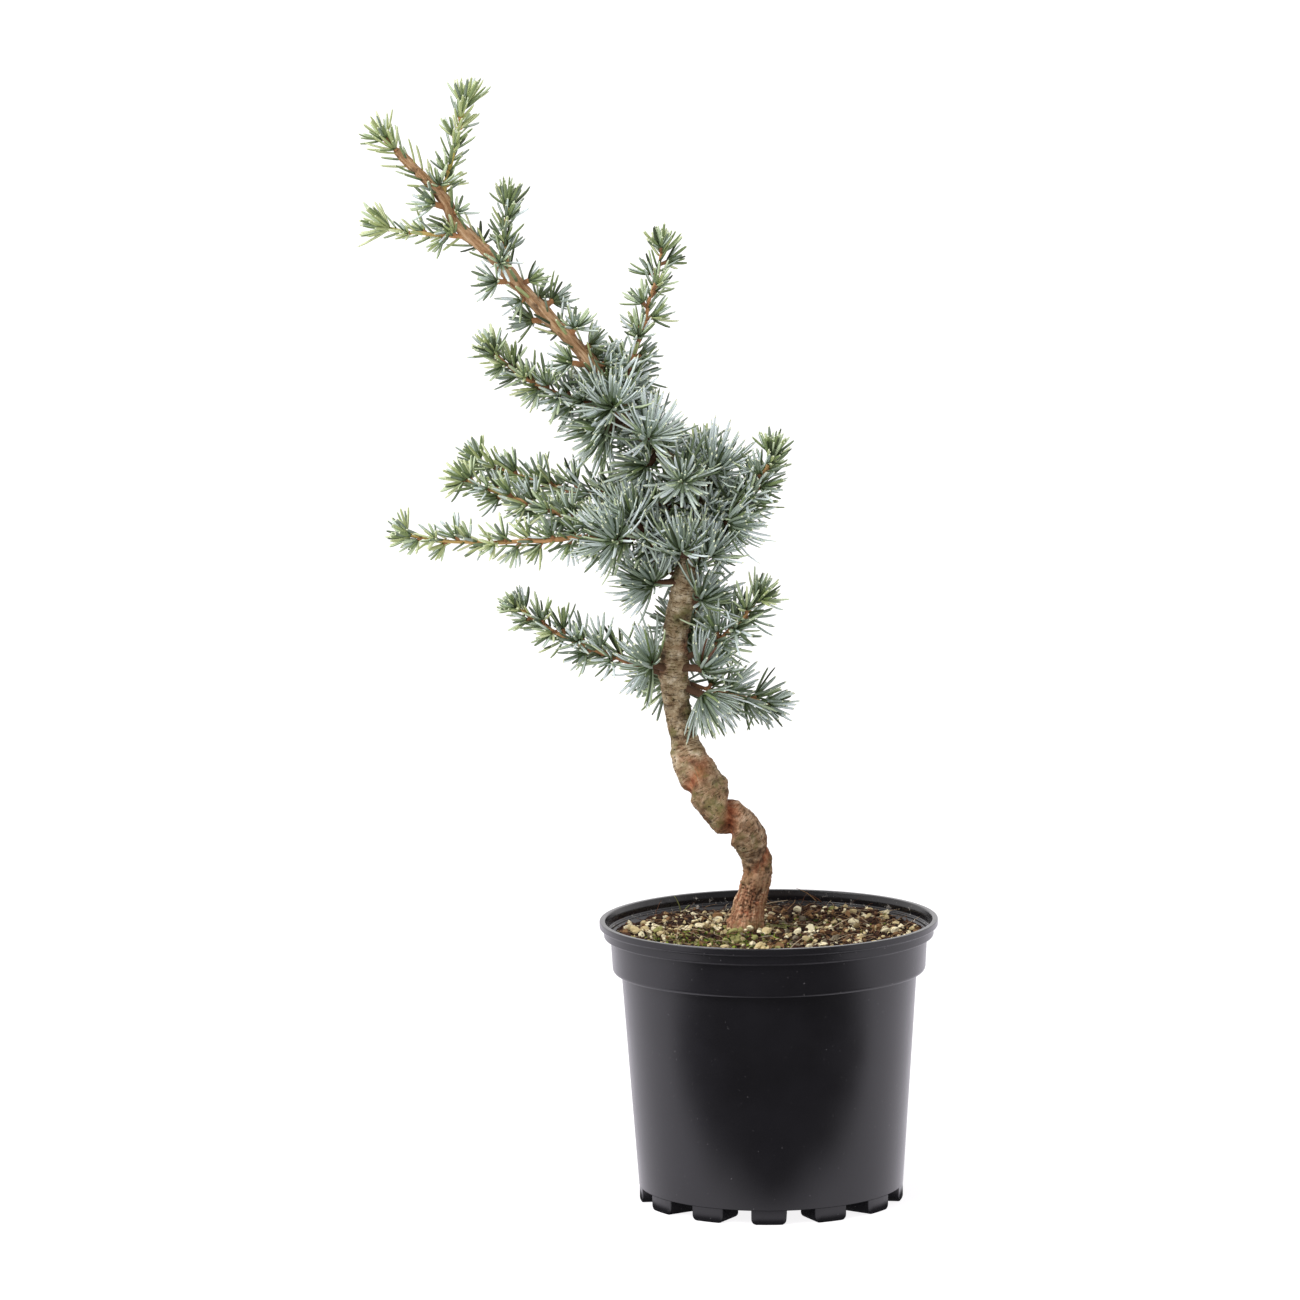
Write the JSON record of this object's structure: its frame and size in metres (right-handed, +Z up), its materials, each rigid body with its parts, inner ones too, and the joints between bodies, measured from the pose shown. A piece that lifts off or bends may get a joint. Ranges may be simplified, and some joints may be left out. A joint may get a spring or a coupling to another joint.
{
  "type": "potted cedar tree",
  "caption": "Young blue cedar with a bent, wire-scarred trunk, upswept boughs and tufts of blue-green needles, in a round black nursery pot.",
  "frame": {"origin": "on the pot's axis, at the ground that its underside stands on", "axes": "+Z up along the pot's axis, -Y towards the side with the trunk's front, +X to that side's right, away from the crown's lean"},
  "size_m": [0.3188, 0.192, 0.6325],
  "materials": {
    "pot": "satin, moulded",
    "soil": "rough, crumbly",
    "bark": "rough, flaky",
    "needles": "matt with a slight sheen"
  },
  "bodies": {
    "root": {"bough_lower_left": "bark", "bough_lower_right": "bark", "bough_lowest_right": "bark", "bough_middle_left": "bark", "bough_middle_left_rear": "bark", "bough_middle_right": "bark", "bough_rear_high": "bark", "bough_rear_low": "bark", "bough_rear_middle": "bark", "bough_rear_right": "bark", "bough_upper_left": "bark", "bough_upper_right": "bark", "pot": "pot", "rosette_bend_front": "needles", "rosette_bend_right": "needles", "rosette_bough_end": "needles", "rosette_bough_middle": "needles", "rosette_chest_front": "needles", "rosette_chest_right": "needles", "rosette_low_left": "needles", "rosette_low_right": "needles", "rosette_lowest_right": "needles", "rosette_neck_front": "needles", "rosette_neck_left": "needles", "rosette_neck_low": "needles", "rosette_neck_under": "needles", "rosette_rear_high": "needles", "rosette_rear_low": "needles", "rosette_rear_lowest": "needles", "rosette_rear_middle": "needles", "rosette_rear_neck": "needles", "rosette_shoulder_right": "needles", "rosette_waist_left": "needles", "rosette_waist_right": "needles", "shoot_far_left": "needles", "shoot_far_left_upper": "needles", "shoot_lower_left": "needles", "shoot_lower_right": "needles", "shoot_lowest_right": "needles", "shoot_middle_left_rear": "needles", "shoot_middle_right": "needles", "shoot_rear_high": "needles", "shoot_rear_low": "needles", "shoot_rear_lowest": "needles", "shoot_rear_middle": "needles", "shoot_rear_right": "needles", "shoot_top_left": "needles", "shoot_top_middle": "needles", "shoot_top_right": "needles", "shoot_upper_left": "needles", "shoot_upper_right": "needles", "soil": "soil", "spur_leader_1": "needles", "spur_leader_2": "needles", "spur_leader_3": "needles", "spur_leader_4": "needles", "spur_leader_5": "needles", "spur_leader_6": "needles", "spur_tip": "needles", "trunk": "bark"}
  },
  "joints": []
}
